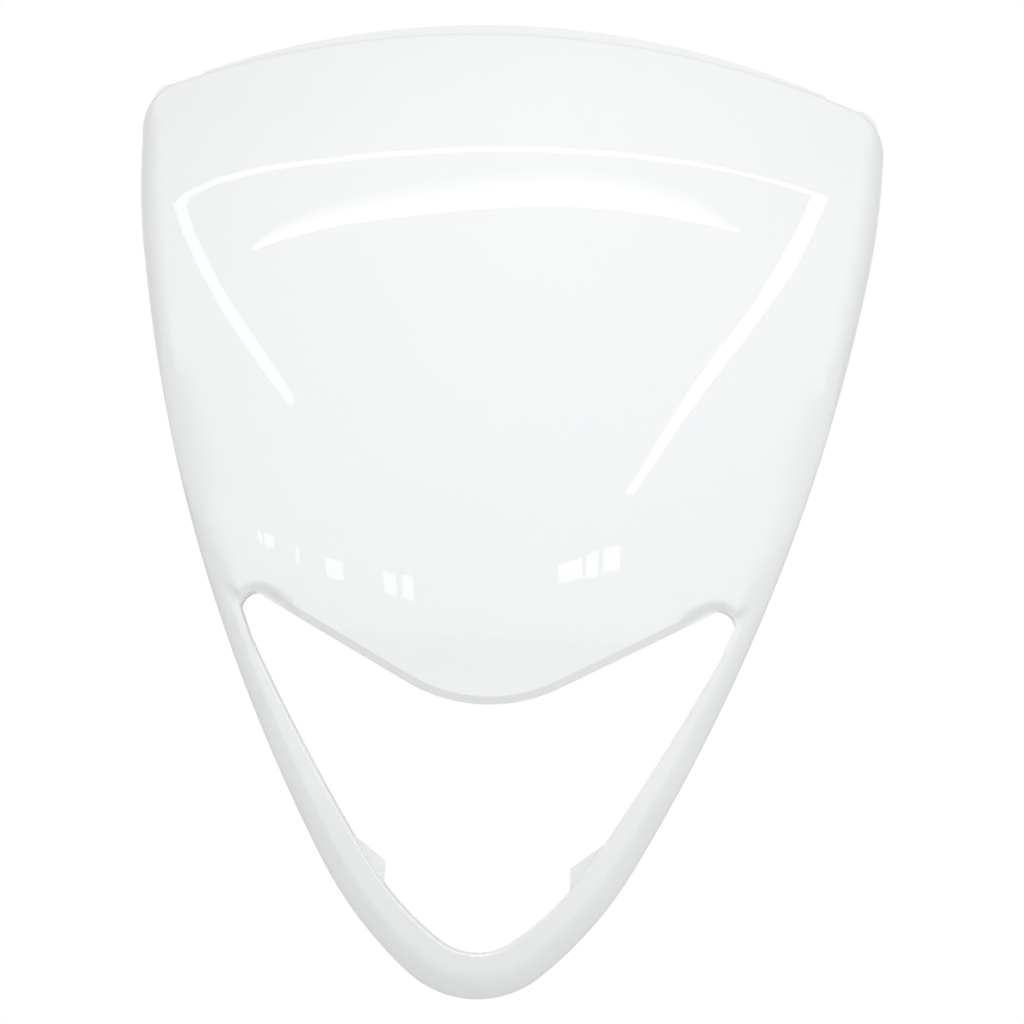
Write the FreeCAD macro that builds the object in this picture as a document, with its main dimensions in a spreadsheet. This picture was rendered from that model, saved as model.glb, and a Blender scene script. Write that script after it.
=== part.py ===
import FreeCAD
import Part
import Sketcher
import math
import os

V = FreeCAD.Vector
Rule = Sketcher.Constraint

# Front fairing panel of a motor scooter: one moulded plastic shell, open at the back.
# +Z is up, the front faces -Y and the panel is symmetric about X = 0.
# While it is drawn, Z = 0 is the tip of the V and Y = 0 the most forward point of the field.

doc = FreeCAD.newDocument("front_fairing_panel")
dims = doc.addObject("Spreadsheet::Sheet", "dims")

# Driving sizes in millimetres, angles in degrees.
sizes = [
    # Outline seen from the front.
    ("panel_width", 361.0),
    ("panel_height", 466.6),
    ("tip_radius", 48.0),
    ("tip_angle", 40.8),
    ("knee_radius", 194.0),
    ("side_bow", 8.7),
    ("shoulder_radius", 367.0),
    ("corner_radius", 24.0),
    ("top_edge_radius", 480.0),
    # Crown of the field and of the arms below it.
    ("crown_radius", 430.0),
    ("crown_height", 190.0),
    ("arm_crown_extra", 30.0),
    ("arm_setback", 5.0),
    # Moulding.
    ("wall", 2.6),
    ("rim_depth", 24.0),
    ("side_roll", 18.0),
    ("side_roll_height", 215.0),
    ("arm_roll", 8.0),
    ("tip_roll", 9.0),
    ("top_roll", 5.0),
    ("inner_bevel", 10.5),
    # Lower edge of the field and the band round the opening.
    ("field_edge_height", 142.0),
    ("field_edge_radius", 77.0),
    ("field_edge_angle", 28.2),
    ("field_edge_bevel", 2.6),
    ("band_width", 10.5),
    ("band_corner_radius", 5.5),
    # V-shaped opening.
    ("tip_width", 22.0),
    ("opening_tip_radius", 28.8),
    ("opening_tip_angle", 36.2),
    ("opening_knee_radius", 142.5),
    ("arm_taper", 3.7),
    ("arm_top_share", 0.3621),
    ("arm_top_width", 13.4),
    ("opening_corner_radius", 8.5),
    ("opening_bevel", 1.2),
    ("opening_tuck", 1.0),
    # Lip behind the top edge.
    ("lip_height", 4.4),
    ("lip_end_height", 2.6),
    ("lip_offset", 3.2),
    ("lip_thickness", 2.2),
    ("lip_root", 1.3),
    # Screw ears behind the top corners.
    ("ear_overhang", 1.6),
    ("ear_thickness", 3.0),
    ("ear_setback", 41.4),
    ("ear_hole", 5.5),
    # Tongues on the side rims, ribs in the arms and tabs in the V.
    ("tongue_length", 9.0),
    ("tongue_width", 18.0),
    ("tongue_thickness", 1.8),
    ("tongue_low_height", 232.0),
    ("tongue_high_height", 318.0),
    ("rib_thickness", 1.8),
    ("rib_depth", 13.0),
    ("rib_low_height", 84.0),
    ("rib_high_height", 140.0),
    ("tab_height", 65.0),
    ("tab_reach", 44.5),
    ("tab_length", 14.0),
    ("tab_thickness", 4.0),
    ("tab_depth", 8.0),
]
for row, (alias, value) in enumerate(sizes, start=1):
    dims.set("A%d" % row, alias)
    dims.set("B%d" % row, str(value))
    dims.setAlias("B%d" % row, alias)
doc.recompute()


def size(alias):
    return float(dims.get(alias))


def arc(centre_x, centre_y, radius, first, last):
    circle = Part.Circle(V(centre_x, centre_y, 0), V(0, 0, 1), radius)
    return Part.ArcOfCircle(circle, math.radians(first), math.radians(last))


def line(x_from, y_from, x_to, y_to):
    return Part.LineSegment(V(x_from, y_from, 0), V(x_to, y_to, 0))


def front_sketch(name):
    sketch = doc.addObject("Sketcher::SketchObject", name)
    sketch.Placement = FreeCAD.Placement(V(0, 0, 0), FreeCAD.Rotation(V(1, 0, 0), 90))
    return sketch


def bind(sketch, rule, name, expression):
    index = sketch.addConstraint(rule)
    sketch.renameConstraint(index, name)
    sketch.setExpression("Constraints." + name, expression)


# Outline: tip, knee, lower side, side, shoulder and corner arcs up the right, the top, and the left.
outline = front_sketch("outline")
outline.addGeometry(
    [
        arc(0, 48, 48, 229.2, 310.8),
        arc(-95.4, 158.6, 194, -49.2, -29),
        arc(-717.3, 503.3, 905, -29, -18.6),
        arc(-717.3, 503.3, 905, -18.6, -9.5),
        arc(-186.5, 414.9, 367, -9.5, 0),
        arc(156.5, 414.9, 24, 0, 69.9),
        arc(0, -13.4, 480, 69.9, 110.1),
        arc(-156.5, 414.9, 24, 110.1, 180),
        arc(186.5, 414.9, 367, 180, 189.5),
        arc(717.3, 503.3, 905, 189.5, 198.6),
        arc(717.3, 503.3, 905, 198.6, 209),
        arc(95.4, 158.6, 194, 209, 229.2),
    ],
    False,
)
apex = outline.addGeometry(Part.Point(V(0, size("panel_height"), 0)), True)
outline.addConstraint([Rule("Tangent", i, 2, (i + 1) % 12, 1) for i in range(12)])
outline.addConstraint([Rule("Equal", 1, 11), Rule("Equal", 2, 3), Rule("Equal", 9, 10)])
outline.addConstraint([Rule("Equal", 4, 8), Rule("Equal", 5, 7)])
outline.addConstraint([Rule("PointOnObject", 0, 3, -2), Rule("PointOnObject", 6, 3, -2)])
outline.addConstraint([Rule("PointOnObject", apex, 1, 6), Rule("PointOnObject", apex, 1, -2)])
outline.addConstraint([Rule("Horizontal", 5, 3, 5, 1), Rule("Horizontal", 7, 3, 7, 2)])
bind(outline, Rule("Radius", 0, 48), "tip", "dims.tip_radius")
bind(outline, Rule("Radius", 1, 194), "knee", "dims.knee_radius")
bind(outline, Rule("Radius", 4, 367), "shoulder", "dims.shoulder_radius")
bind(outline, Rule("Radius", 5, 24), "corner", "dims.corner_radius")
bind(outline, Rule("Radius", 6, 480), "top_edge", "dims.top_edge_radius")
bind(outline, Rule("DistanceY", -1, 1, 0, 3, 48), "tip_centre", "dims.tip_radius")
bind(outline, Rule("DistanceY", -1, 1, apex, 1, 466.6), "height", "dims.panel_height")
bind(outline, Rule("DistanceX", -1, 1, 5, 1, 180.5), "half_right", "dims.panel_width / 2")
bind(outline, Rule("DistanceX", 7, 2, -1, 1, 180.5), "half_left", "dims.panel_width / 2")
tip_end = "dims.tip_radius * (1 - cos(dims.tip_angle))"
corner_height = (
    "dims.panel_height - dims.top_edge_radius + sqrt((dims.top_edge_radius - dims.corner_radius) ^ 2"
    " - (dims.panel_width / 2 - dims.corner_radius) ^ 2)"
)
side_rise = corner_height + " - " + tip_end
side_run = "dims.panel_width / 2 - dims.tip_radius * sin(dims.tip_angle)"
side_angle = "(atan2(" + side_rise + "; " + side_run + ") - dims.side_bow * 1 deg)"
knee_end = tip_end + " + dims.knee_radius * (cos(dims.tip_angle) - cos(" + side_angle + "))"
bind(outline, Rule("DistanceY", -1, 1, 1, 1, 11.7), "tip_end_right", tip_end)
bind(outline, Rule("DistanceY", -1, 1, 11, 2, 11.7), "tip_end_left", tip_end)
bind(outline, Rule("DistanceY", -1, 1, 1, 2, 64.5), "knee_end_right", knee_end)
bind(outline, Rule("DistanceY", -1, 1, 11, 1, 64.5), "knee_end_left", knee_end)
bind(outline, Rule("DistanceY", -1, 1, 2, 2, 215), "roll_right", "dims.side_roll_height")
bind(outline, Rule("DistanceY", -1, 1, 10, 1, 215), "roll_left", "dims.side_roll_height")

# Opening: a V whose top follows the lower edge of the field, tucked just behind it.
opening = front_sketch("opening")
opening.addGeometry(
    [
        arc(0, 50.8, 28.8, 233.8, 306.2),
        arc(-67.2, 142.5, 142.5, -53.8, -32.7),
        arc(-694.1, 544.8, 887.4, -32.7, -23.9),
        arc(111.9, 188.3, 6, -23.9, 118.2),
        line(36.4, 152.1, 109.1, 193.6),
        arc(0, 220, 77, 241.8, 298.2),
        line(-36.4, 152.1, -109.1, 193.6),
        arc(-111.9, 188.3, 6, 61.8, 203.9),
        arc(694.1, 544.8, 887.4, 203.9, 212.7),
        arc(67.2, 142.5, 142.5, 212.7, 233.8),
    ],
    False,
)
opening.addConstraint([Rule("Tangent", i, 2, i + 1, 1) for i in (0, 1, 2)])
opening.addConstraint([Rule("Tangent", 3, 2, 4, 2), Rule("Tangent", 4, 1, 5, 2)])
opening.addConstraint([Rule("Tangent", 6, 1, 5, 1), Rule("Tangent", 7, 1, 6, 2)])
opening.addConstraint([Rule("Tangent", i, 2, (i + 1) % 10, 1) for i in (7, 8, 9)])
opening.addConstraint([Rule("Equal", 1, 9), Rule("Equal", 3, 7)])
opening.addConstraint([Rule("PointOnObject", 0, 3, -2), Rule("PointOnObject", 5, 3, -2)])
bind(opening, Rule("Radius", 0, 28.8), "tip", "dims.opening_tip_radius")
bind(opening, Rule("Radius", 1, 142.5), "knee", "dims.opening_knee_radius")
bind(opening, Rule("Radius", 3, 6), "corner", "dims.opening_corner_radius")
bind(opening, Rule("Radius", 5, 77), "edge", "dims.field_edge_radius")
opening_base = "dims.tip_width + dims.opening_tip_radius"
bind(opening, Rule("DistanceY", -1, 1, 0, 3, 50.8), "tip_centre", opening_base)
edge_centre = "dims.field_edge_height + dims.field_edge_radius"
bind(opening, Rule("DistanceY", -1, 1, 5, 3, 220), "edge_centre", edge_centre + " + dims.opening_tuck")
edge_end = "dims.field_edge_radius * sin(dims.field_edge_angle)"
bind(opening, Rule("DistanceX", -1, 1, 5, 2, 36.4), "edge_right", edge_end)
bind(opening, Rule("DistanceX", 5, 1, -1, 1, 36.4), "edge_left", edge_end)
opening_half = "dims.panel_width * dims.arm_top_share - dims.arm_top_width"
bind(opening, Rule("DistanceX", -1, 1, 3, 1, 117.4), "half_right", opening_half)
bind(opening, Rule("DistanceX", 7, 2, -1, 1, 117.4), "half_left", opening_half)
low_end = "dims.tip_width + dims.opening_tip_radius * (1 - cos(dims.opening_tip_angle))"
arm_angle = side_angle + " - dims.arm_taper * 1 deg"
knee_rise = "dims.opening_knee_radius * (cos(dims.opening_tip_angle) - cos(" + arm_angle + "))"
high_end = low_end + " + " + knee_rise
bind(opening, Rule("DistanceY", -1, 1, 1, 1, 27.6), "tip_end_right", low_end)
bind(opening, Rule("DistanceY", -1, 1, 9, 2, 27.6), "tip_end_left", low_end)
bind(opening, Rule("DistanceY", -1, 1, 1, 2, 65.6), "knee_end_right", high_end)
bind(opening, Rule("DistanceY", -1, 1, 9, 1, 65.6), "knee_end_left", high_end)

# Everything below the lower edge of the field.
below = front_sketch("below_field")
below.addGeometry(
    [
        arc(0, 219, 77, 241.8, 298.2),
        line(36.4, 151.1, 216.6, 247.7),
        line(216.6, 247.7, 216.6, -20),
        line(216.6, -20, -216.6, -20),
        line(-216.6, -20, -216.6, 247.7),
        line(-36.4, 151.1, -216.6, 247.7),
    ],
    False,
)
below.addConstraint([Rule("Tangent", 1, 1, 0, 2), Rule("Tangent", 5, 1, 0, 1)])
below.addConstraint([Rule("Coincident", i, 2, i + 1, 1) for i in (1, 2, 3)])
below.addConstraint(Rule("Coincident", 4, 2, 5, 2))
below.addConstraint([Rule("Vertical", 2), Rule("Horizontal", 3), Rule("Vertical", 4)])
below.addConstraint(Rule("PointOnObject", 0, 3, -2))
bind(below, Rule("Radius", 0, 77), "edge", "dims.field_edge_radius")
bind(below, Rule("DistanceY", -1, 1, 0, 3, 219), "edge_centre", edge_centre)
bind(below, Rule("DistanceX", -1, 1, 0, 2, 36.4), "edge_right", edge_end)
bind(below, Rule("DistanceX", 0, 1, -1, 1, 36.4), "edge_left", edge_end)
bind(below, Rule("DistanceX", -1, 1, 2, 1, 216.6), "reach_right", "dims.panel_width * 0.6")
bind(below, Rule("DistanceX", 4, 1, -1, 1, 216.6), "reach_left", "dims.panel_width * 0.6")
bind(below, Rule("DistanceY", 2, 2, -1, 1, 20), "base", "dims.tip_width")


def offset(name, source, expression):
    curve = doc.addObject("Part::Offset2D", name)
    curve.Source = source
    curve.Join = "Intersection"
    curve.setExpression("Value", expression)
    return curve


def prism(name, source):
    block = doc.addObject("Part::Extrusion", name)
    block.Base = source
    block.DirMode = "Custom"
    block.Dir = V(0, 1, 0)
    block.Symmetric = True
    block.Solid = True
    block.setExpression("LengthFwd", "dims.crown_radius * 2")
    return block


def boolean(kind, name, base, tool):
    result = doc.addObject("Part::" + kind, name)
    result.Base = base
    result.Tool = tool
    return result


def crown_slab(name, front, rear, setback, radius):
    # A slab whose front and back are the crown moved in by the two stated depths.
    balls = []
    for layer, depth in (("_front", front), ("_rear", rear)):
        ball = doc.addObject("Part::Sphere", name + layer)
        ball.setExpression("Radius", radius + " - (" + depth + ")")
        ball.setExpression("Placement.Base.y", setback + " + " + radius)
        ball.setExpression("Placement.Base.z", "dims.crown_height")
        balls.append(ball)
    return boolean("Cut", name, balls[0], balls[1])


def front_point(x, z):
    # Point on the field's crown, seen from the front at x and z.
    radius = size("crown_radius")
    return V(x, radius - math.sqrt(radius ** 2 - x ** 2 - (z - size("crown_height")) ** 2), z)


def face_loops(shape, point):
    # Edge loops of the face that a point lies on, the longest first, each a list of (number, from, to).
    face = min(shape.Faces, key=lambda f: f.distToShape(Part.Vertex(point))[0])
    numbers = {e.hashCode(): i for i, e in enumerate(shape.Edges, start=1)}
    loops = []
    for wire in sorted(face.Wires, key=lambda w: w.Length, reverse=True):
        left = [(numbers[e.hashCode()], e.Vertexes[0].Point, e.Vertexes[-1].Point) for e in wire.Edges]
        loop = [left.pop(0)]
        while left:
            end = loop[-1][2]
            near = min(left, key=lambda e: min(e[1].distanceToPoint(end), e[2].distanceToPoint(end)))
            left.remove(near)
            turned = near[2].distanceToPoint(end) < near[1].distanceToPoint(end)
            loop.append((near[0], near[2], near[1]) if turned else near)
        loops.append(loop)
    return loops


def fillet(name, base, edges):
    result = doc.addObject("Part::Fillet", name)
    result.Base = base
    result.Edges = edges
    return result


def bevel(name, base, loop, depth):
    result = doc.addObject("Part::Chamfer", name)
    result.Base = base
    result.Edges = [(number, depth, depth) for number, first, last in loop]
    return result


corner_x = size("panel_width") / 2 - size("corner_radius")
corner_z = size("panel_height") - size("top_edge_radius") + math.sqrt(
    (size("top_edge_radius") - size("corner_radius")) ** 2 - corner_x ** 2
)


def rim_roll(point):
    # Roll of the rim at a point of the outline: tip, arms, sides and, beyond the corners, the top.
    if point.z < size("tip_width"):
        return size("tip_roll")
    if point.z < size("side_roll_height") + 1:
        return size("arm_roll")
    if point.z < corner_z + 1:
        return size("side_roll")
    turn = math.atan2(point.z - corner_z, abs(point.x) - corner_x)
    full_turn = math.atan2(corner_z - size("panel_height") + size("top_edge_radius"), corner_x)
    return size("side_roll") + min(turn / full_turn, 1) * (size("top_roll") - size("side_roll"))


# Skin: the crowned slab inside the outline, less everything inside the band round the opening.
skin_slab = crown_slab("skin_slab", "0", "dims.rim_depth", "0", "dims.crown_radius")
skin_block = boolean("Common", "skin_block", skin_slab, prism("outline_prism", outline))
band_side = prism("band_side", offset("band_curve", outline, "-dims.band_width"))
band_prism = boolean("Common", "band_prism", band_side, prism("below_prism", below))
doc.recompute()
band_edges = []
for number, edge in enumerate(band_prism.Shape.Edges, start=1):
    first = edge.Vertexes[0].Point
    last = edge.Vertexes[-1].Point
    if abs(first.y - last.y) > 1 and first.z > size("field_edge_height") + 20:
        band_edges.append((number, size("band_corner_radius"), size("band_corner_radius")))
band_round = fillet("band_round", band_prism, band_edges)
skin_cut = boolean("Cut", "skin_cut", skin_block, band_round)
doc.recompute()
field_point = front_point(0, size("panel_height") * 0.6)
rim_loop = face_loops(skin_cut.Shape, field_point)[0]
rolls = [(number, rim_roll(first), rim_roll(last)) for number, first, last in rim_loop]
skin_rolled = fillet("skin_rolled", skin_cut, rolls)
doc.recompute()
band_loop = face_loops(skin_rolled.Shape, field_point)[1]
skin = bevel("skin", skin_rolled, band_loop, size("field_edge_bevel"))

# Arms: a second crown, set back from the field, between the band and the opening.
setback = "dims.arm_setback"
arm_crown = "(dims.crown_radius + dims.arm_crown_extra)"
arm_slab = crown_slab("arm_slab", "0", "dims.rim_depth", setback, arm_crown)
arm_side = prism("arm_side", offset("arm_curve", outline, "-dims.wall"))
arm_block = boolean("Common", "arm_block", arm_slab, arm_side)
arm_limit = prism("arm_limit", offset("arm_limit_curve", below, "dims.arm_setback"))
arm_lower = boolean("Common", "arm_lower", arm_block, arm_limit)
opening_prism = prism("opening_prism", opening)
arm_cut = boolean("Cut", "arm_cut", arm_lower, opening_prism)
doc.recompute()
arm_point = V(0, 0, size("tip_width") / 2)
arm_radius = size("crown_radius") + size("arm_crown_extra")
arm_reach = arm_radius ** 2 - (arm_point.z - size("crown_height")) ** 2
arm_point.y = size("arm_setback") + arm_radius - math.sqrt(arm_reach)
arm_inner = face_loops(arm_cut.Shape, arm_point)[1]
arms = bevel("arms", arm_cut, arm_inner, size("opening_bevel"))
outer_form = boolean("Fuse", "outer_form", skin, arms)

# Hollow behind the field and behind the arms, one wall in from the outer form.
deep = "dims.rim_depth + dims.tongue_length"
field_slab = crown_slab("field_slab", "dims.wall", deep, "0", "dims.crown_radius")
hollow_side = prism("hollow_side", offset("hollow_curve", outline, "-dims.wall"))
field_block = boolean("Common", "field_block", field_slab, hollow_side)
field_limit = prism("field_limit", offset("field_limit_curve", below, "dims.wall"))
field_cut = boolean("Cut", "field_cut", field_block, field_limit)
doc.recompute()
inner_point = field_point + V(0, size("wall") * 1.05, 0)
edge_line = size("side_roll_height") - size("band_width") * 2
field_loop = face_loops(field_cut.Shape, inner_point)[0]
field_rim = [edge for edge in field_loop if min(edge[1].z, edge[2].z) > edge_line]
field_hollow = bevel("field_hollow", field_cut, field_rim, size("inner_bevel"))
arm_hollow_slab = crown_slab("arm_hollow_slab", "dims.wall", deep, setback, arm_crown)
arm_hollow_block = boolean("Common", "arm_hollow_block", arm_hollow_slab, hollow_side)
arm_hollow_lower = boolean("Common", "arm_hollow_lower", arm_hollow_block, arm_limit)
arm_hollow_edge = prism("arm_hollow_edge", offset("arm_hollow_curve", opening, "dims.wall"))
arm_hollow = boolean("Cut", "arm_hollow", arm_hollow_lower, arm_hollow_edge)
hollow = boolean("Fuse", "hollow", field_hollow, arm_hollow)
shell = boolean("Cut", "shell", outer_form, hollow)

# Lip: a thin strip one step behind the top edge, which slips under the cowl above.
lip_sketch = front_sketch("lip_outline")
lip_sketch.addGeometry(
    [
        arc(0, 66, 405, 68, 112),
        line(-151.6, 441.6, -151.6, 440),
        arc(0, -13.4, 478.7, 71.5, 108.5),
        line(151.6, 440, 151.6, 441.6),
    ],
    False,
)
lip_apex = lip_sketch.addGeometry(Part.Point(V(0, 471, 0)), True)
lip_sketch.addConstraint([Rule("Coincident", 0, 2, 1, 1), Rule("Coincident", 1, 2, 2, 2)])
lip_sketch.addConstraint([Rule("Coincident", 2, 1, 3, 1), Rule("Coincident", 3, 2, 0, 1)])
lip_sketch.addConstraint([Rule("Vertical", 1), Rule("Vertical", 3)])
lip_sketch.addConstraint([Rule("PointOnObject", 0, 3, -2), Rule("PointOnObject", 2, 3, -2)])
lip_sketch.addConstraint([Rule("PointOnObject", lip_apex, 1, 0), Rule("PointOnObject", lip_apex, 1, -2)])
bind(lip_sketch, Rule("DistanceY", 3, 1, 3, 2, 0.9), "end_height", "dims.lip_end_height")
bind(lip_sketch, Rule("Radius", 2, 478.7), "root", "dims.top_edge_radius - dims.lip_root")
lip_top = "dims.panel_height + dims.lip_height"
bind(lip_sketch, Rule("DistanceY", -1, 1, lip_apex, 1, 471), "height", lip_top)
root_centre = "dims.top_edge_radius - dims.panel_height"
bind(lip_sketch, Rule("DistanceY", 2, 3, -1, 1, 13.4), "root_centre", root_centre)
bind(lip_sketch, Rule("DistanceX", -1, 1, 3, 1, 151.6), "half_right", "dims.panel_width * 0.42")
bind(lip_sketch, Rule("DistanceX", 1, 1, -1, 1, 151.6), "half_left", "dims.panel_width * 0.42")
lip_back = "dims.lip_offset + dims.lip_thickness"
lip_slab = crown_slab("lip_slab", "dims.lip_offset", lip_back, "0", "dims.crown_radius")
lip = boolean("Common", "lip", lip_slab, prism("lip_prism", lip_sketch))


# Ears: round plates behind the top corners, each with a screw hole at the middle.
def disc(name, side, radius, front, length):
    # A round plate or pin along Y, centred on the rounding of a top corner.
    plate = doc.addObject("Part::Cylinder", name)
    plate.Placement = FreeCAD.Placement(V(0, 0, 0), FreeCAD.Rotation(V(1, 0, 0), -90))
    plate.setExpression("Radius", radius)
    plate.setExpression("Height", length)
    plate.setExpression("Placement.Base.x", side + "(dims.panel_width / 2 - dims.corner_radius)")
    plate.setExpression("Placement.Base.y", front)
    plate.setExpression("Placement.Base.z", corner_height)
    return plate


ear_radius = "dims.corner_radius + dims.ear_overhang"
corner_rise = "(" + corner_height + " - dims.crown_height)"
corner_reach = "((dims.panel_width / 2 - dims.corner_radius) ^ 2 + " + corner_rise + " ^ 2)"
corner_depth = "dims.crown_radius - sqrt(dims.crown_radius ^ 2 - " + corner_reach + ")"
ear_seat = "(" + corner_depth + " + dims.ear_setback)"
ear_front = ear_seat + " - dims.ear_thickness"
ears = [
    disc("ear_right", "", ear_radius, ear_front, "dims.ear_thickness"),
    disc("ear_left", "-", ear_radius, ear_front, "dims.ear_thickness"),
]
hole_front = ear_seat + " - dims.ear_thickness * 2"
holes = [
    disc("hole_right", "", "dims.ear_hole / 2", hole_front, "dims.ear_thickness * 3"),
    disc("hole_left", "-", "dims.ear_hole / 2", hole_front, "dims.ear_thickness * 3"),
]


def level(name, height, thickness):
    # A wide flat block between two heights.
    block = doc.addObject("Part::Box", name)
    block.setExpression("Length", "dims.panel_width * 2")
    block.setExpression("Width", "dims.crown_radius")
    block.setExpression("Height", thickness)
    block.setExpression("Placement.Base.x", "-dims.panel_width")
    block.setExpression("Placement.Base.z", height + " - " + thickness + " / 2")
    return block


# Tongues: short pieces of the side wall carried on past the rim.
tongue_front = "dims.rim_depth - dims.tongue_length"
tongue_slab = crown_slab("tongue_slab", tongue_front, deep, "0", "dims.crown_radius")
tongue_outer = prism("tongue_outer", offset("tongue_outer_curve", outline, "-dims.wall * 0.2"))
tongue_depth = "-dims.wall * 0.2 - dims.tongue_thickness"
tongue_inner = prism("tongue_inner", offset("tongue_inner_curve", outline, tongue_depth))
tongue_wall = boolean("Cut", "tongue_wall", tongue_outer, tongue_inner)
tongue_ring = boolean("Common", "tongue_ring", tongue_slab, tongue_wall)
tongue_low_level = level("tongue_low_level", "dims.tongue_low_height", "dims.tongue_width")
tongue_high_level = level("tongue_high_level", "dims.tongue_high_height", "dims.tongue_width")
tongues = [
    boolean("Common", "tongue_low", tongue_ring, tongue_low_level),
    boolean("Common", "tongue_high", tongue_ring, tongue_high_level),
]

# Ribs: thin webs across the hollow of each arm.
rib_front = "dims.wall / 2"
rib_slab = crown_slab("rib_slab", rib_front, "dims.rib_depth", setback, arm_crown)
rib_side = prism("rib_side", offset("rib_curve", outline, "-dims.wall / 2"))
rib_block = boolean("Common", "rib_block", rib_slab, rib_side)
rib_edge = prism("rib_edge", offset("rib_edge_curve", opening, "dims.wall / 2"))
rib_ring = boolean("Cut", "rib_ring", rib_block, rib_edge)
rib_low_level = level("rib_low_level", "dims.rib_low_height", "dims.rib_thickness")
rib_high_level = level("rib_high_level", "dims.rib_high_height", "dims.rib_thickness")
ribs = [
    boolean("Common", "rib_low", rib_ring, rib_low_level),
    boolean("Common", "rib_high", rib_ring, rib_high_level),
]

# Tabs: small pointed plates on the inner edges of the V.
tab_sketch = front_sketch("tab_outline")
tab_sketch.addGeometry(
    [
        line(44.5, 66, 69.7, 85.6),
        line(69.7, 85.6, 69.7, 52),
        line(69.7, 52, 44.5, 52),
        line(44.5, 52, 44.5, 66),
    ],
    False,
)
tab_sketch.addConstraint([Rule("Coincident", i, 2, (i + 1) % 4, 1) for i in range(4)])
tab_sketch.addConstraint([Rule("Vertical", 1), Rule("Horizontal", 2), Rule("Vertical", 3)])
bind(tab_sketch, Rule("DistanceX", -1, 1, 0, 1, 44.5), "nose_x", "dims.tab_reach")
bind(tab_sketch, Rule("DistanceY", -1, 1, 0, 1, 66), "nose_y", "dims.tab_height")
bind(tab_sketch, Rule("DistanceY", 2, 2, 0, 1, 14), "length", "dims.tab_length")
bind(tab_sketch, Rule("DistanceX", 0, 1, 0, 2, 25.2), "root_x", "dims.tab_length * 1.8")
bind(tab_sketch, Rule("DistanceY", 0, 1, 0, 2, 19.6), "root_y", "dims.tab_length * 1.4")
tab_back = "dims.tab_depth + dims.tab_thickness"
tab_slab = crown_slab("tab_slab", "dims.tab_depth", tab_back, setback, arm_crown)
tab_edge = prism("tab_edge", offset("tab_edge_curve", opening, "dims.wall * 0.6"))
tab_block = boolean("Common", "tab_block", tab_slab, tab_edge)
tab_right = boolean("Common", "tab_right", tab_block, prism("tab_prism", tab_sketch))
tab_left = doc.addObject("Part::Mirroring", "tab_left")
tab_left.Source = tab_right
tab_left.Normal = V(1, 0, 0)

# The whole moulding, with the screw holes through the ears.
# The origin moves to the middle of the two ears' seats.
whole = doc.addObject("Part::MultiFuse", "whole")
whole.Shapes = [shell, lip, tab_right, tab_left] + ears + tongues + ribs
pins = doc.addObject("Part::MultiFuse", "pins")
pins.Shapes = holes
panel = boolean("Cut", "front_fairing_panel", whole, pins)
panel.Label = "front_fairing_panel"
panel.setExpression("Placement.Base.y", "-" + ear_seat)
panel.setExpression("Placement.Base.z", "-(" + corner_height + ")")
doc.recompute()

for item in doc.Objects:
    if "Invalid" in item.State or "Error" in item.State:
        raise RuntimeError(item.Name + " did not rebuild")
    if hasattr(item, "Shape") and (item.Shape.isNull() or not item.Shape.isValid()):
        raise RuntimeError(item.Name + " has no valid shape")
if len(panel.Shape.Solids) != 1:
    raise RuntimeError("the panel is not one solid")
os.makedirs("parts", exist_ok=True)
panel.Shape.exportStep("parts/front_fairing_panel.step")
box = panel.Shape.optimalBoundingBox()
print("front_fairing_panel", round(box.XLength, 1), round(box.YLength, 1), round(box.ZLength, 1), "mm")
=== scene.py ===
# %% [markdown]
# # Front fairing panel of a motor scooter
# One glossy white moulding: a crowned shield with rolled rims, a V-shaped opening
# between two slim arms, and a thin lip behind its top edge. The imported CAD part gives
# every size and place. This lesson gives it the look of polished white plastic.

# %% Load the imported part
import math

import bpy
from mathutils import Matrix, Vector


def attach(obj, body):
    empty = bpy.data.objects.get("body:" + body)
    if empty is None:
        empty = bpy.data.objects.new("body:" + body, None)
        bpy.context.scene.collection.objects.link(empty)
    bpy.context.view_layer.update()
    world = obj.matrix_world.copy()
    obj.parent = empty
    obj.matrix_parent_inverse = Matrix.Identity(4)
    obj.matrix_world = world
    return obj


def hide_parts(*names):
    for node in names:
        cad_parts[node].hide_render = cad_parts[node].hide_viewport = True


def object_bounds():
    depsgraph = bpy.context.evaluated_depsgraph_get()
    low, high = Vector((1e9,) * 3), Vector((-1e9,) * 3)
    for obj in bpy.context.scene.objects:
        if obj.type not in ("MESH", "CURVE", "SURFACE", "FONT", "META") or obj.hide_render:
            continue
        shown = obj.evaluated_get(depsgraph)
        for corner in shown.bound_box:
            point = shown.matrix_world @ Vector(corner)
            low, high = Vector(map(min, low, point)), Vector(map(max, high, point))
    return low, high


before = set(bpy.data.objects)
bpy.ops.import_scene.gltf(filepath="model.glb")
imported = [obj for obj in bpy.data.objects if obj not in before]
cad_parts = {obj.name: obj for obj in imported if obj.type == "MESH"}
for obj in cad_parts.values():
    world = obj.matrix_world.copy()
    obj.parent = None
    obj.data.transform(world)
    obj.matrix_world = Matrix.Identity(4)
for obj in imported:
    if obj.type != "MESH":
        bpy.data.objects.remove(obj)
cad_low, cad_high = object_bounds()
panel_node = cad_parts["front_fairing_panel"]
print("CAD box", [round(v, 4) for v in (*cad_low, *cad_high)])

# %% [markdown]
# ## The moulding
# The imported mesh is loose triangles, and light breaks at each of their edges. A copy
# whose points are merged can be shaded smooth, and the limit on the angle keeps the
# sharp edges of the lip, ears and tabs.

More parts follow.
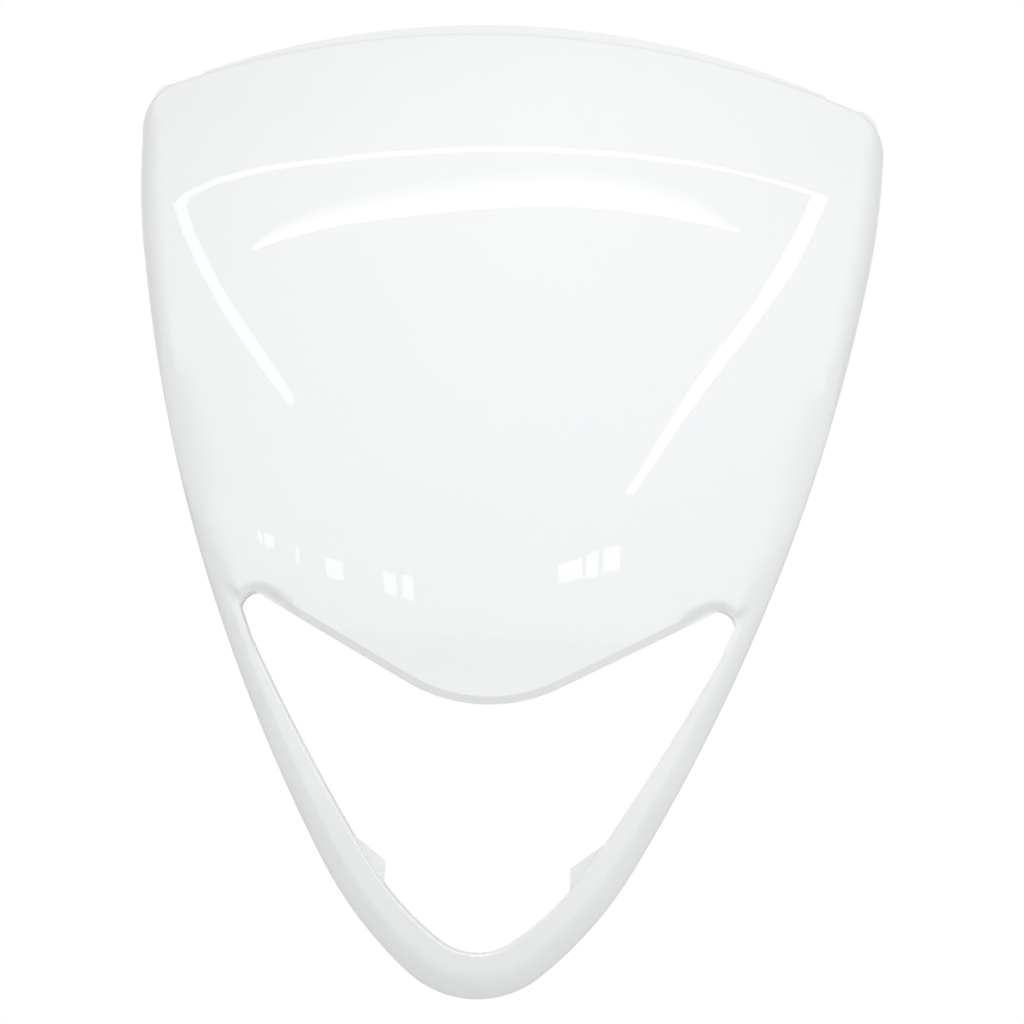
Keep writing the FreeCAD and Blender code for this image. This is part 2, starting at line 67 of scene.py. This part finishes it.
# %% Merge a copy of the panel
bpy.ops.object.select_all(action="DESELECT")
panel_node.select_set(True)
bpy.context.view_layer.objects.active = panel_node
bpy.ops.object.duplicate()
shell = bpy.context.view_layer.objects.active
shell.name = "panel_shell"
shell.data.name = "panel_shell"
bpy.ops.object.mode_set(mode="EDIT")
bpy.ops.mesh.select_all(action="SELECT")
bpy.ops.mesh.remove_doubles(threshold=0.000005)
bpy.ops.mesh.normals_make_consistent(inside=False)
bpy.ops.object.mode_set(mode="OBJECT")
bpy.ops.object.shade_smooth_by_angle(angle=math.radians(50))
print("shell points", len(shell.data.vertices), "faces", len(shell.data.polygons))

# %% [markdown]
# ## Arms without a step, and softer rims
# The solid model carries the rim of the shield down the arms as a low raised band. On
# the real panel the band fades out beside the upper corners of the opening, and each
# arm is one smooth front that folds over towards its outer edge; the sides of the
# shield fold the same way before they roll. The arms are subdivided, and every point
# that stands proud of such a folded front is pushed back on to it, straight away from
# the viewer, so that the outline stays as it is. The front's depth is a formula of the
# distance from the outline, so the same formula gives the normals later.

# %% Measures of the front, in metres
wall = 0.0026
lip_front, lip_back = 0.0032, 0.0054
field_centre, field_radius = Vector((0, 0.290, -0.2249)), 0.430
arm_centre, arm_radius = Vector((0, 0.325, -0.2249)), 0.460
tip_height = -0.4149
crown_tolerance = 0.00003
# Arcs of the outline from the tip up: centre, radius and the angle where the next starts.
outline_arcs = [
    (0, 0.048, 0.048, -49.2), (-0.0954, 0.1586, 0.194, -29),
    (-0.7173, 0.5033, 0.905, -9.5), (-0.1865, 0.4149, 0.367, 180),
]
# Lower edge of the field: a middle arc, and on each side a straight run to a small corner.
edge_centre, edge_half, edge_end = 0.219, 0.0364, 0.1511
edge_run, edge_rise, edge_slope = 0.8813, 0.4726, 0.5362
corner_x, corner_height, corner_radius = 0.1095, 0.1818, 0.0085
band_depth, band_width, opening_tuck = 0.0026, 0.0038, 0.001
# Fold along the outline of the arms and of the shield's sides: its width, how much
# narrower it gets further up, and the depths of its slope and of its rounded end.
arm_fold, side_fold = (0.0115, 0.004, 0.0036, 0.0018), (0.0135, 0.009, 0.0042, 0.0030)
# Heights above the tip: the join of the arms and the field, the top of the arms, and
# where the fold of the sides fades out. The join climbs from an inset inwards.
join_start, join_end, arm_top, fade_start, fade_end = 0.172, 0.197, 0.205, 0.41, 0.43
join_inset = 0.0115
# A face is a front if it looks outward by more than the first, a bevel up to the second.
facing_limit, bevel_limit = 0.3, 0.9
print("arcs of the outline", len(outline_arcs))


# %% Distances in the plan of the front
def inset(x, z):
    # Distance in from the outline.
    x, z = abs(x), z - tip_height
    for centre_x, centre_z, radius, end in outline_arcs:
        if math.atan2(z - centre_z, x - centre_x) < math.radians(end):
            return radius - math.hypot(x - centre_x, z - centre_z)


def corner_gap(x, z):
    # Distance from the opening's upper corner, an arc that runs on into the lower edge.
    x, z = abs(x) - corner_x, z - tip_height - corner_height
    if x * edge_run + z * edge_rise < 0:
        return z * edge_run - x * edge_rise - corner_radius
    return math.hypot(x, z) - corner_radius


print("outline to the field's centre", round(inset(0, field_centre.z), 4))


# %% Depth of the folded front
def ramp(value, start, end):
    share = min(max((value - start) / (end - start), 0), 1)
    return share * share * (3 - 2 * share)


def crown_depth(centre, radius, x, z):
    return centre.y - math.sqrt(radius ** 2 - x ** 2 - (z - centre.z) ** 2)


def fold(edge, width, slope, end):
    # Extra depth near the outline: a soft fold, a slope and a rounded end.
    softness = 0.02
    turn = min(max(1 - edge / width, 0), 1)
    soft = math.sqrt(turn ** 2 + softness) - math.sqrt(softness)
    return slope * soft + end * (1 - math.sqrt(1 - turn ** 2))


def folded_front(x, z):
    # The arms below and the field above, joined beside the opening's upper corners.
    height, edge, gap = z - tip_height, inset(x, z), corner_gap(x, z)
    width, narrower, slope, end = arm_fold
    width -= narrower * min(height / 0.18, 1)
    arm = crown_depth(arm_centre, arm_radius, x, z) + fold(edge, width, slope, end)
    width, narrower, slope, end = side_fold
    width -= narrower * ramp(height, 0.24, 0.38)
    field = crown_depth(field_centre, field_radius, x, z) + fold(edge, width, slope, end)
    band = band_depth * min(max(1 - (gap + opening_tuck) / band_width, 0), 1)
    dip = (arm - field) * ramp(gap, 0.0065, -0.0005)
    field += band + (dip - band) * ramp(abs(x), 0.088, 0.102)
    past = edge - join_inset
    rise = height + 1.5 * (past + math.hypot(past, 0.002))
    start = join_start + 0.013 * ramp(edge, 0.002, 0.008)
    return arm + (field - arm) * ramp(rise, start, join_end)


print("depth of the arms' tip", round(folded_front(0, tip_height + 0.01), 4))


# %% Where a point or a face lies
def at_corner(point):
    beside = abs(point.x) > 0.086 and 0.168 < point.z - tip_height < 0.215
    return beside and corner_gap(point.x, point.z) < 0.0085


def on_arm(point):
    height = point.z - tip_height
    beside = height < arm_top and inset(point.x, point.z) < 0.024 - 0.045 * height
    return (beside or at_corner(point)) and point.y < folded_front(point.x, point.z) + 0.004


def on_field(point):
    return abs((point - field_centre).length - field_radius) < crown_tolerance


def outward(face):
    # 1 where a face looks away from the centre of the field's ball, -1 in the hollow.
    return face.normal.dot((face.center - field_centre).normalized())


mesh = shell.data
print("points on the field", sum(on_field(point.co) for point in mesh.vertices))

# %% [markdown]
# ## Wider band along the lower edge
# The lower edge of the field ends in a soft bevel, which shows as a pale band. In the
# solid model the bevel is a little narrow. Its upper row of points is moved up along the
# field, which widens the band and leaves the edge itself where it is.

# %% Widen the band along the lower edge
band_shift = 0.0013
banded = set()
for face in mesh.polygons:
    low = face.center.z - tip_height > 0.142 and abs(face.center.x) < 0.103
    if low and 0.55 < outward(face) < bevel_limit:
        banded.update(i for i in face.vertices if on_field(mesh.vertices[i].co))
for index in banded:
    point = mesh.vertices[index].co
    x, height = abs(point.x), point.z - tip_height
    if x < edge_half:
        inward, near = Vector((-x, 0, edge_centre - height)).normalized(), True
    else:
        inward = Vector((-edge_rise, 0, edge_run))
        near = height - edge_end < (x - edge_half) * edge_slope + 0.006
    shift = band_shift * near * ramp(x, 0.104, 0.095)
    point.x += math.copysign(1, point.x) * inward.x * shift
    point.z += inward.z * shift
    point.y = crown_depth(field_centre, field_radius, point.x, point.z)
print("points of the band", len(banded))

# %% [markdown]
# ## Fronts of the arms
# A long triangle can't follow a fold, so the arms' fronts are cut finer first, and the
# corners beside the opening finer still. Then the points are pushed back. The hidden
# side moves along where the front would come through it.

# %% Subdivide the fronts of the arms and corners
longest_side, corner_rounds = 0.0019, 7


def subdivide_fronts(wanted, cuts):
    bpy.ops.object.mode_set(mode="EDIT")
    bpy.ops.mesh.select_mode(type="FACE")
    bpy.ops.mesh.select_all(action="DESELECT")
    bpy.ops.object.mode_set(mode="OBJECT")
    for face in mesh.polygons:
        face.select = outward(face) > facing_limit and wanted(face)
    bpy.ops.object.mode_set(mode="EDIT")
    bpy.ops.mesh.subdivide(number_cuts=cuts)
    bpy.ops.object.mode_set(mode="OBJECT")


def coarse_corner(face):
    if not -0.27 < face.center.z < 0.06 or abs(face.center.x) < 0.03:
        return False
    points = [mesh.vertices[i].co for i in face.vertices]
    pairs = [(point, points[i - 1]) for i, point in enumerate(points)]
    if max((first - second).length for first, second in pairs) <= longest_side:
        return False
    middles = [(first + second) / 2 for first, second in pairs]
    return any(at_corner(point) for point in (*points, *middles, face.center))


subdivide_fronts(lambda face: on_arm(face.center), 2)
first_new = len(mesh.vertices)
for step in range(corner_rounds):
    subdivide_fronts(coarse_corner, 1)
print("faces with the arms subdivided", len(mesh.polygons))

# %% Points of the hidden side
hidden, shown = set(), set()
for face in mesh.polygons:
    facing = outward(face)
    if abs(facing) > facing_limit:
        (shown if facing > 0 else hidden).update(face.vertices)
hidden -= shown
print("hidden points", len(hidden))

# %% Push the fronts back
skin, most_push, close = 0.0024, 0.008, 0.0003
folded = set()
for point in mesh.vertices:
    x, y, z = point.co
    edge, height = inset(x, z), z - tip_height
    if on_arm(point.co):
        front = folded_front(x, z)
        arm_depth = crown_depth(arm_centre, arm_radius, x, z)
        # Points inside the rolled rim move with the hidden side.
        inside = height < 0.19 and 0.0015 < edge < 0.006 and y > arm_depth + 0.0015
        if point.index in hidden or inside:
            point.co.y += max(front + skin - y, 0)
        elif y < front or y < arm_depth + close:
            point.co.y = front
            folded.add(point.index)
    elif arm_top <= height < fade_end and -0.0006 < edge < 0.014:
        rise = (folded_front(x, z) - y) * ramp(height, fade_end, fade_start)
        if point.index in hidden:
            point.co.y += max(rise + skin, 0)
        elif 0 < rise < most_push:
            point.co.y += rise
            if height < fade_start:
                folded.add(point.index)
    elif point.index >= first_new:
        field_depth = crown_depth(field_centre, field_radius, x, z)
        if abs(y - field_depth) < close:
            point.co.y = field_depth
print("points on the folded front", len(folded))

# %% [markdown]
# ## Small shapes at the edges
# Two details are set one by one. The tabs in the V turn a little away from the viewer, and
# the screw ears show only at the diagonal of each top corner.

# %% Turn the tabs and shape the ears
tab_root, tab_end, tab_lean = 0.019, 0.034, 0.5
ear_place, ear_rim, ear_radius, corner_extra = 0.1565, (0.0245, 0.026), 0.0236, 0.0028
shaped = 0
for point in mesh.vertices:
    x, y, z = point.co
    edge, height = inset(x, z), z - tip_height
    if 0.048 < height < 0.09 and tab_root < edge < tab_end and abs(x) > 0.04:
        point.co.y += (edge - tab_root) * tab_lean
    ear_x = abs(x) - ear_place
    reach = math.hypot(ear_x, z)
    if -0.0032 < y < 0.0002 and ear_rim[0] < reach < ear_rim[1]:
        turn = math.degrees(math.atan2(z, ear_x))
        wanted = ear_radius + corner_extra * ramp(turn, 28, 44) * ramp(turn, 72, 56)
        point.co.x = math.copysign(ear_place + ear_x * wanted / reach, x)
        point.co.z = z * wanted / reach
        shaped += 1
mesh.update()
bpy.ops.object.shade_smooth_by_angle(angle=math.radians(30))
print("points of the ears' rims", shaped)

# %% [markdown]
# ## Clean reflections
# A polished panel is judged by the lamps it mirrors, and a normal that is one degree
# out moves a reflection by several millimetres. The field is part of a big ball, so the
# true normal of each of its points is known: it runs from the ball's centre. The folded
# front's normals come from its slope. They are stored in the mesh. A bevel keeps the
# normal of its own faces, so that it shows as a soft band, and so does any face whose
# smooth normal would lean far from it, which keeps the thin walls clean.

# %% Known normals of the field, the arms and the lip
crowns = [
    (field_centre, field_radius, 1),
    (field_centre, field_radius - wall, -1),
    (arm_centre, arm_radius - wall, -1),
    (field_centre, field_radius - lip_front, 1),
    (field_centre, field_radius - lip_back, -1),
]
same_way, lean_limit = 0.9, 0.8


def slope_normal(x, z):
    nudge = 0.00002
    slope_x = (folded_front(x + nudge, z) - folded_front(x - nudge, z)) / (2 * nudge)
    slope_z = (folded_front(x, z + nudge) - folded_front(x, z - nudge)) / (2 * nudge)
    return Vector((slope_x, -1, slope_z)).normalized()


def crown_normal(point, facing):
    # Normal of the crown that a point lies on, if the face looks the same way.
    for centre, radius, side in crowns:
        ray = (point - centre).normalized() * side
        near = abs((point - centre).length - radius) < crown_tolerance
        if near and ray.dot(facing) > same_way:
            return ray
    return None


print("crowns with known normals", len(crowns))

# %% Store the normals
normals = [corner.vector.copy() for corner in mesh.corner_normals]
front_points = folded | {point.index for point in mesh.vertices if on_field(point.co)}
known = 0
for face in mesh.polygons:
    on_front = face.normal.y < -0.15 and all(i in front_points for i in face.vertices)
    bevelled = facing_limit < outward(face) < bevel_limit and on_arm(face.center)
    bevelled = bevelled or any(i in banded for i in face.vertices)
    for corner in face.loop_indices:
        index = mesh.loops[corner].vertex_index
        point = mesh.vertices[index].co
        if on_front and index in folded:
            true_normal = slope_normal(point.x, point.z)
        else:
            true_normal = crown_normal(point, face.normal)
        if not true_normal and bevelled:
            true_normal = face.normal.copy()
        known += bool(true_normal)
        true_normal = true_normal or normals[corner]
        leans = true_normal.dot(face.normal) <= lean_limit
        normals[corner] = face.normal.copy() if leans else true_normal
    if not on_front and any(normals[i] == face.normal for i in face.loop_indices):
        for corner in face.loop_indices:
            normals[corner] = face.normal.copy()
mesh.normals_split_custom_set(normals)
print("corners with a known normal", known, "of", len(normals))

# %% [markdown]
# ## Gloss white plastic
# The outside comes from a polished mould. Under the gloss the white is not quite even,
# the skin has a faint orange peel and long shallow waves, and the rolled rims are a
# little darker and rougher in patches. All of that is mixed from noise in the object's
# own metres, so it stays the right size from any side.

# %% Helpers for a material's nodes
def start_material(name):
    material = bpy.data.materials.new(name)
    material.use_nodes = True
    return material, material.node_tree.nodes, material.node_tree.links


def add_noise(nodes, links, source, scale, detail):
    noise = nodes.new("ShaderNodeTexNoise")
    noise.inputs["Scale"].default_value = scale
    noise.inputs["Detail"].default_value = detail
    links.new(source, noise.inputs["Vector"])
    return noise.outputs["Fac"]


def add_range(nodes, links, source, low, high, new_low, new_high):
    span = nodes.new("ShaderNodeMapRange")
    sockets = ("From Min", "From Max", "To Min", "To Max")
    for socket, value in zip(sockets, (low, high, new_low, new_high)):
        span.inputs[socket].default_value = value
    links.new(source, span.inputs["Value"])
    return span.outputs["Result"]


def add_math(nodes, links, operation, first, second):
    step = nodes.new("ShaderNodeMath")
    step.operation = operation
    links.new(first, step.inputs[0])
    links.new(second, step.inputs[1])
    return step.outputs["Value"]


def add_blend(nodes, links, factor, first, second):
    blend = nodes.new("ShaderNodeMix")
    blend.data_type = "RGBA"
    links.new(factor, blend.inputs["Factor"])
    for socket, colour in (("A", first), ("B", second)):
        entry = [s for s in blend.inputs if s.name == socket and s.type == "RGBA"][0]
        if isinstance(colour, tuple):
            entry.default_value = (*colour, 1)
        else:
            links.new(colour, entry)
    return [s for s in blend.outputs if s.type == "RGBA"][0]


# %% Gloss white, the outside
gloss, nodes, links = start_material("gloss_white_plastic")
plastic = nodes["Principled BSDF"]
plastic.inputs["IOR"].default_value = 1.5
place = nodes.new("ShaderNodeTexCoord").outputs["Object"]

depth = nodes.new("ShaderNodeVectorMath")
depth.operation = "DISTANCE"
depth.inputs[1].default_value = field_centre
links.new(place, depth.inputs[0])
rim = add_range(nodes, links, depth.outputs["Value"], 0.4294, 0.4230, 0, 1)

cloud = add_range(nodes, links, add_noise(nodes, links, place, 6, 3), 0.35, 0.65, 0, 1)
white = add_blend(nodes, links, cloud, (0.862, 0.869, 0.874), (0.876, 0.880, 0.882))
# Patches along the rolled rims: noise inside the rim mask mixes the white towards a grey and adds a
# little roughness.
rim_patch_noise = add_range(nodes, links, add_noise(nodes, links, place, 38, 4), 0.40, 0.70, 0.05, 0.40)
rim_dark_patches = add_math(nodes, links, "MULTIPLY", rim, rim_patch_noise)
links.new(add_blend(nodes, links, rim_dark_patches, white, (0.800, 0.806, 0.812)), plastic.inputs["Base Color"])

polish = add_range(nodes, links, add_noise(nodes, links, place, 11, 5), 0.30, 0.70, 0.008, 0.018)
lay = nodes.new("ShaderNodeMapping")
lay.inputs["Rotation"].default_value = (0, math.radians(24), 0)
lay.inputs["Scale"].default_value = (5, 5, 240)
links.new(place, lay.inputs["Vector"])
hairlines = add_noise(nodes, links, lay.outputs["Vector"], 3, 2)
scratches = add_range(nodes, links, hairlines, 0.66, 0.76, 0, 0.02)
wiped = add_math(nodes, links, "ADD", polish, scratches)
roughness_with_rim_patches = add_math(nodes, links, "ADD", wiped, add_range(nodes, links, rim_dark_patches, 0, 0.4, 0, 0.03))
links.new(roughness_with_rim_patches, plastic.inputs["Roughness"])

waves = nodes.new("ShaderNodeBump")
waves.inputs["Distance"].default_value = 0.00010
links.new(add_noise(nodes, links, place, 7, 1), waves.inputs["Height"])
peel = nodes.new("ShaderNodeBump")
peel.inputs["Distance"].default_value = 0.0000025
links.new(add_noise(nodes, links, place, 380, 2), peel.inputs["Height"])
links.new(waves.outputs["Normal"], peel.inputs["Normal"])
links.new(peel.outputs["Normal"], plastic.inputs["Normal"])
print("gloss nodes", len(nodes))

# %% [markdown]
# ## Satin white, the hidden side
# The mould's core is only ground, not polished, so the back of such a panel is satin
# with a fine grain and faint streaks where the plastic flowed. The same plastic, a
# second finish: it goes on the faces that look towards the hollow.

# %% Satin white, the back
satin, nodes, links = start_material("satin_white_core")
core = nodes["Principled BSDF"]
core.inputs["IOR"].default_value = 1.5
place = nodes.new("ShaderNodeTexCoord").outputs["Object"]
flow = nodes.new("ShaderNodeMapping")
flow.inputs["Scale"].default_value = (26, 26, 5)
links.new(place, flow.inputs["Vector"])
flow_marks = add_noise(nodes, links, flow.outputs["Vector"], 1, 4)
streak = add_range(nodes, links, flow_marks, 0.3, 0.7, 0, 1)
milky = add_blend(nodes, links, streak, (0.815, 0.822, 0.828), (0.845, 0.849, 0.852))
links.new(milky, core.inputs["Base Color"])
grain = add_noise(nodes, links, place, 900, 2)
links.new(add_range(nodes, links, grain, 0.3, 0.7, 0.36, 0.52), core.inputs["Roughness"])
ground = nodes.new("ShaderNodeBump")
ground.inputs["Distance"].default_value = 0.00001
links.new(grain, ground.inputs["Height"])
links.new(ground.outputs["Normal"], core.inputs["Normal"])
print("satin nodes", len(nodes))

# %% Outside and back of the shell
back_limit = 0.12
mesh.materials.clear()
mesh.materials.append(gloss)
mesh.materials.append(satin)
for face in mesh.polygons:
    face.material_index = int(outward(face) < back_limit)
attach(shell, "root")
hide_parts("front_fairing_panel")
print("satin faces", sum(face.material_index for face in mesh.polygons))

# %% [markdown]
# ## Floor and background
# The panel hangs over a plain pale floor, which takes its soft shadow. The white behind
# it is the world itself, seen by the camera and by reflections; its diffuse light is
# lower, so that one big lamp in front can model the crown and leave the rims in shade.

# %% Pale floor
bpy.ops.object.select_all(action="DESELECT")
bpy.ops.mesh.primitive_plane_add(size=16, location=(0, 0, cad_low[2] - 0.45))
floor = bpy.context.view_layer.objects.active
floor.name = "floor"
pale, nodes, links = start_material("pale_floor")
nodes["Principled BSDF"].inputs["Roughness"].default_value = 0.8
place = nodes.new("ShaderNodeTexCoord").outputs["Object"]
mottle = add_noise(nodes, links, place, 2, 3)
links.new(add_blend(nodes, links, mottle, (0.88, 0.88, 0.88), (0.91, 0.91, 0.91)),
          nodes["Principled BSDF"].inputs["Base Color"])
floor.data.materials.append(pale)
print("floor at", round(floor.location.z, 3))

# %% White world
world = bpy.data.worlds.new("studio")
bpy.context.scene.world = world
world.use_nodes = True
nodes, links = world.node_tree.nodes, world.node_tree.links
soft = nodes["Background"]
soft.inputs["Color"].default_value = (0.985, 0.993, 1, 1)
soft.inputs["Strength"].default_value = 0.565
backdrop = nodes.new("ShaderNodeBackground")
backdrop.inputs["Color"].default_value = (1, 1, 1, 1)
path = nodes.new("ShaderNodeLightPath")
camera_ray, glossy_ray = path.outputs["Is Camera Ray"], path.outputs["Is Glossy Ray"]
seen = add_math(nodes, links, "MAXIMUM", camera_ray, glossy_ray)
seen = add_math(nodes, links, "MAXIMUM", seen, path.outputs["Is Transmission Ray"])
choose = nodes.new("ShaderNodeMixShader")
links.new(seen, choose.inputs["Fac"])
links.new(soft.outputs["Background"], choose.inputs[1])
links.new(backdrop.outputs["Background"], choose.inputs[2])
links.new(choose.outputs["Shader"], nodes["World Output"].inputs["Surface"])
bpy.context.scene.view_settings.view_transform = "Standard"
print("world light", soft.inputs["Strength"].default_value)

# %% Soft lamp in front
bpy.ops.object.light_add(type="AREA", location=(0.25, -2.6, 1.6))
key = bpy.context.view_layer.objects.active
key.name = "soft_front_lamp"
key.data.shape = "RECTANGLE"
key.data.size, key.data.size_y = 2.6, 2.0
key.data.energy = 50
key.rotation_euler = (Vector((0, -0.1, -0.2)) - key.location).to_track_quat("-Z", "Y").to_euler()
key.visible_camera = False
key.visible_glossy = False
print("front lamp", key.data.energy, "W")

# %% [markdown]
# ## Lamps that the gloss mirrors
# The room is read in the panel's gloss: a frame of light bars on the ceiling, a wide
# softer lamp inside it and a row of window panes far in front. Each is a thin glowing
# sheet that only reflections see, so it draws its line on the plastic and leaves the
# soft light as it is. The glow may differ between a sheet's two edges.

# %% Helper for a glowing sheet
bar_glow, ceiling_height, window_distance = 3.4, 0.55, -3.0
glow_finish, nodes, links = start_material("lamp_glow")
nodes.remove(nodes["Principled BSDF"])
shine = nodes.new("ShaderNodeEmission")
level = nodes.new("ShaderNodeAttribute")
level.attribute_name = "glow"
links.new(level.outputs["Fac"], shine.inputs["Strength"])
links.new(shine.outputs["Emission"], nodes["Material Output"].inputs["Surface"])


def glowing_sheet(name, points, faces, glows):
    sheet = bpy.data.meshes.new(name)
    sheet.from_pydata(points, [], faces)
    sheet.attributes.new("glow", "FLOAT", "POINT").data.foreach_set("value", glows)
    sheet.materials.append(glow_finish)
    lamp = bpy.data.objects.new(name, sheet)
    bpy.context.scene.collection.objects.link(lamp)
    lamp.visible_camera = lamp.visible_diffuse = False
    lamp.visible_transmission = lamp.visible_shadow = False


def ceiling_strip(name, first_edge, second_edge, first_glow, second_glow):
    count = len(first_edge)
    points = [(x, y, ceiling_height) for x, y in first_edge + second_edge]
    faces = [(i, i + 1, count + i + 1, count + i) for i in range(count - 1)]
    glowing_sheet(name, points, faces, [first_glow] * count + [second_glow] * count)


print("lamp finish", glow_finish.name)

# %% Bars on the ceiling
ceiling_strip(
    "bar_across",
    [(-0.692, -0.291), (-0.655, -0.279), (-0.572, -0.281), (-0.462, -0.303), (-0.335, -0.333),
     (-0.171, -0.351), (-0.025, -0.350), (0.111, -0.342), (0.249, -0.322), (0.396, -0.293),
     (0.568, -0.249)],
    [(-0.668, -0.311), (-0.644, -0.297), (-0.568, -0.300), (-0.462, -0.318), (-0.336, -0.345),
     (-0.173, -0.363), (-0.024, -0.363), (0.113, -0.354), (0.252, -0.332), (0.399, -0.300),
     (0.538, -0.268)],
    bar_glow, bar_glow,
)
ceiling_strip(
    "bar_left",
    [(-0.695, -0.290), (-0.726, -0.387), (-0.761, -0.533), (-0.796, -0.703), (-0.831, -0.924),
     (-0.865, -1.179), (-0.892, -1.408)],
    [(-0.668, -0.310), (-0.695, -0.396), (-0.725, -0.535), (-0.754, -0.701), (-0.776, -0.897),
     (-0.804, -1.137), (-0.845, -1.381)],
    bar_glow, bar_glow,
)
ceiling_strip(
    "bar_right",
    [(0.570, -0.249), (0.588, -0.328), (0.627, -0.494), (0.647, -0.684), (0.667, -0.905),
     (0.686, -1.173), (0.733, -1.584), (0.806, -2.134), (0.878, -2.666)],
    [(0.537, -0.268), (0.557, -0.352), (0.582, -0.523), (0.603, -0.697), (0.611, -0.918),
     (0.635, -1.217), (0.681, -1.606), (0.753, -2.155), (0.820, -2.689)],
    bar_glow, bar_glow,
)
ceiling_strip(
    "wide_lamp",
    [(-0.599, -0.534), (-0.503, -0.528), (-0.390, -0.525), (-0.278, -0.529), (-0.152, -0.525),
     (-0.031, -0.513), (0.066, -0.501), (0.163, -0.490), (0.262, -0.478), (0.356, -0.467),
     (0.455, -0.452)],
    [(-0.591, -0.517), (-0.481, -0.472), (-0.368, -0.452), (-0.261, -0.445), (-0.143, -0.432),
     (-0.032, -0.412), (0.056, -0.398), (0.145, -0.387), (0.237, -0.382), (0.330, -0.393),
     (0.448, -0.438)],
    4.6, 1.0,
)
ceiling_strip(
    "dim_ceiling",
    [(-1.400, 0.100), (-0.667, -0.084), (-0.439, -0.190), (-0.245, -0.235), (-0.050, -0.215),
     (0.117, -0.205), (0.280, -0.205), (0.414, -0.205), (0.636, -0.125), (1.400, 0.050)],
    [(-1.400, 1.600), (-0.700, 1.600), (-0.500, 1.600), (-0.300, 1.600), (-0.100, 1.600),
     (0.100, 1.600), (0.300, 1.600), (0.500, 1.600), (0.700, 1.600), (1.400, 1.600)],
    0.95, 0.7,
)

# %% Window panes in front
panes = [
    [(-2.003, 0.296), (-1.949, 0.284), (-1.922, 0.174), (-1.967, 0.202)],
    [(-1.916, 0.270), (-1.794, 0.237), (-1.812, 0.131), (-1.890, 0.158)],
    [(-1.593, 0.151), (-1.559, 0.141), (-1.549, 0.022), (-1.580, 0.034)],
    [(-1.322, 0.075), (-1.168, 0.037), (-1.155, -0.104), (-1.297, -0.076)],
    [(-0.850, -0.022), (-0.750, -0.041), (-0.734, -0.205), (-0.826, -0.177)],
    [(-0.704, -0.040), (-0.625, -0.052), (-0.601, -0.228), (-0.684, -0.210)],
    [(0.414, 0.069), (0.591, 0.132), (0.596, -0.017), (0.428, -0.061)],
    [(0.623, 0.159), (0.709, 0.196), (0.710, 0.001), (0.618, -0.021)],
    [(0.747, 0.211), (0.874, 0.244), (0.873, 0.064), (0.744, 0.027)],
]
corners = [(x, window_distance, z) for pane in panes for x, z in pane]
quads = [tuple(range(4 * i, 4 * i + 4)) for i in range(len(panes))]
glowing_sheet("window_panes", corners, quads, [bar_glow] * len(corners))
print("window panes", len(panes))

# %% [markdown]
# ## Camera
# The panel was photographed square from the front with a long lens, turned a little in
# the picture. A far camera with a narrow angle gives the same flat outline.

# %% Camera
bpy.ops.object.camera_add(
    location=(0.1425, -5.0728, -0.2211),
    rotation=(math.radians(90.467), math.radians(-2.399), math.radians(1.515)),
)
camera = bpy.context.view_layer.objects.active
camera.data.lens = 365.2
bpy.context.scene.camera = camera
print("lens", round(camera.data.lens, 1), "mm")
